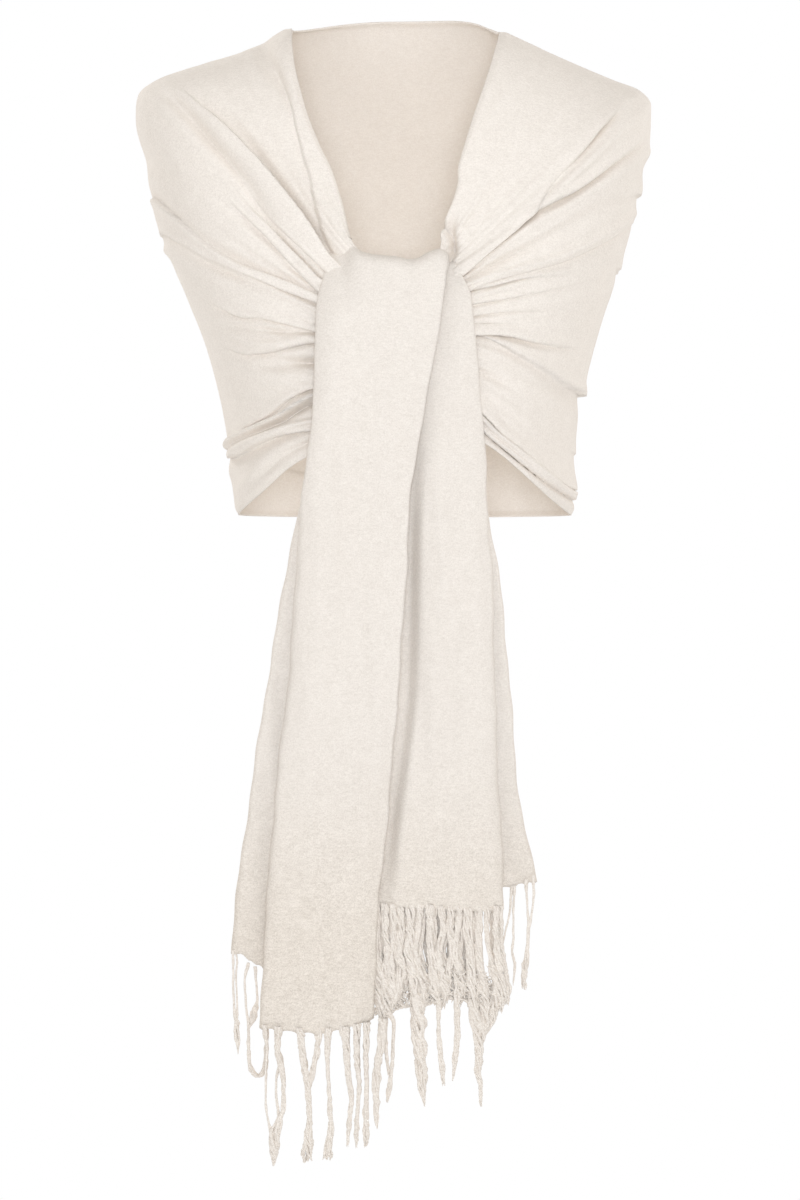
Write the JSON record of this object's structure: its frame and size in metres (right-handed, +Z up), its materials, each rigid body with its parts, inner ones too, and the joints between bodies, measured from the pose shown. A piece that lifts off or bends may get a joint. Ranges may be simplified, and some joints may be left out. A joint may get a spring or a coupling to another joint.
{
  "type": "stole",
  "caption": "Plain fringed stole worn as a hollow shrug over the back and shoulders, tied at the chest, with long folded tails hanging in front.",
  "frame": {"origin": "midway between the two places where the cloth lies on the wearer's shoulders", "axes": "+Z up; the wearer faces -Y, so the knot and tails are on the -Y side; +X is to the right of someone facing the wearer"},
  "size_m": [0.423, 0.2693, 0.9246],
  "materials": {
    "cloth": "brushed cream wool and viscose weave with a soft nap and a faint sheen",
    "fringe": "twisted, slightly fluffy cream strands"
  },
  "bodies": {
    "root": {"back": "cloth", "front_left": "cloth", "front_right": "cloth", "knot": "cloth", "tail_left": "cloth", "tail_right": "cloth", "fringe_left": "fringe", "fringe_right": "fringe"}
  },
  "joints": []
}
